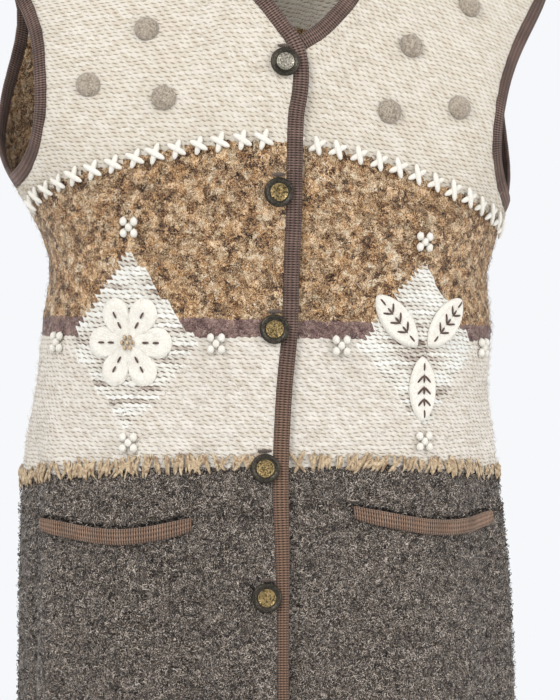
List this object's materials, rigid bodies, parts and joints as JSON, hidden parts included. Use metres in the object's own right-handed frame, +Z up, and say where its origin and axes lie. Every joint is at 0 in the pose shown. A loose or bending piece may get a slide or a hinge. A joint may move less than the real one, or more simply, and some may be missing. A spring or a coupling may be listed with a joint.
{
  "type": "mohair vest",
  "caption": "Long sleeveless V-neck knitted vest that buttons down the front, held in the filled-out shape of a wearer.",
  "frame": {"origin": "between the shoulders, on the line that joins the middles of the two shoulder seams, where the wearer's shoulders carry the garment", "axes": "+Z up along the length, -Y out of the buttoned front, +X towards the wearer's left"},
  "size_m": [0.5324, 0.3007, 0.8347],
  "materials": {
    "cream_knit": "loose wool knit, reverse side out",
    "tweed_knit": "brushed mohair boucle",
    "rib_binding": "fine knitted rib",
    "pocket_rib": "fine knitted rib",
    "pocket_knit": "plain fine knit",
    "button_metal": "darkened antique metal with a worn brass centre",
    "grey_puff": "felted mohair",
    "white_wool": "thick wool yarn"
  },
  "bodies": {
    "root": {"right_front": "cream_knit", "left_front": "cream_knit", "back": "tweed_knit", "right_front_band": "rib_binding", "left_front_band": "rib_binding", "neck_band_back": "rib_binding", "right_armhole_band": "rib_binding", "left_armhole_band": "rib_binding", "right_pocket_band": "pocket_rib", "left_pocket_band": "pocket_rib", "right_pocket_bag": "pocket_knit", "left_pocket_bag": "pocket_knit", "button_1": "button_metal", "button_2": "button_metal", "button_3": "button_metal", "button_4": "button_metal", "button_5": "button_metal", "button_6": "button_metal", "puff_right_1": "grey_puff", "puff_right_2": "grey_puff", "puff_right_3": "grey_puff", "puff_right_4": "grey_puff", "puff_left_1": "grey_puff", "puff_left_2": "grey_puff", "puff_left_3": "grey_puff", "puff_left_4": "grey_puff", "daisy": "white_wool", "leaf_1": "white_wool", "leaf_2": "white_wool", "leaf_3": "white_wool"}
  },
  "joints": []
}
